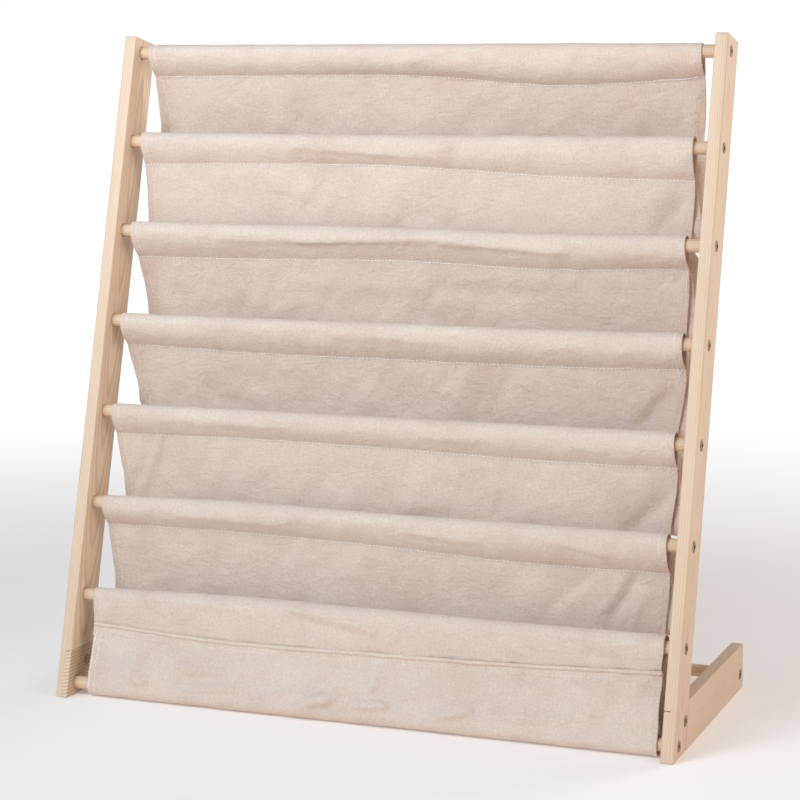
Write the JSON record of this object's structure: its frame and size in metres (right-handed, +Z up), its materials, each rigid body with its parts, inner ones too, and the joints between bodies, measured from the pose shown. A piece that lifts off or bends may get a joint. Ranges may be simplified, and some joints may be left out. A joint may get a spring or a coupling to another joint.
{
  "type": "sling bookshelf",
  "caption": "Low children's bookshelf: a leaning pine frame with round rods that carry a canvas cover sewn into hanging pockets for picture books.",
  "frame": {"origin": "middle of the footprint, on the floor", "axes": "+X to the right as seen by a reader in front, +Y to the back, +Z up"},
  "size_m": [0.6, 0.2714, 0.6232],
  "materials": {
    "pine": "sanded, clear matt lacquer",
    "dowel": "sanded, clear matt lacquer",
    "canvas": "plain woven undyed cotton canvas",
    "bronze": "antique bronze plated, satin"
  },
  "bodies": {
    "root": {"left_post": "pine", "left_foot": "pine", "left_rod_screw_1": "bronze", "left_rod_screw_2": "bronze", "left_rod_screw_3": "bronze", "left_rod_screw_4": "bronze", "left_rod_screw_5": "bronze", "left_rod_screw_6": "bronze", "left_rod_screw_7": "bronze", "left_rod_screw_8": "bronze", "left_rear_rod_screw": "bronze", "left_lap_bolt": "bronze", "left_lap_nut": "bronze", "right_post": "pine", "right_foot": "pine", "right_rod_screw_1": "bronze", "right_rod_screw_2": "bronze", "right_rod_screw_3": "bronze", "right_rod_screw_4": "bronze", "right_rod_screw_5": "bronze", "right_rod_screw_6": "bronze", "right_rod_screw_7": "bronze", "right_rod_screw_8": "bronze", "right_rear_rod_screw": "bronze", "right_lap_bolt": "bronze", "right_lap_nut": "bronze", "rod_1": "dowel", "rod_2": "dowel", "rod_3": "dowel", "rod_4": "dowel", "rod_5": "dowel", "rod_6": "dowel", "rod_7": "dowel", "rod_8": "dowel", "rear_rod": "dowel", "sling_1": "canvas", "sling_2": "canvas", "sling_3": "canvas", "sling_4": "canvas", "sling_5": "canvas", "sling_6": "canvas", "front_apron": "canvas"}
  },
  "joints": []
}
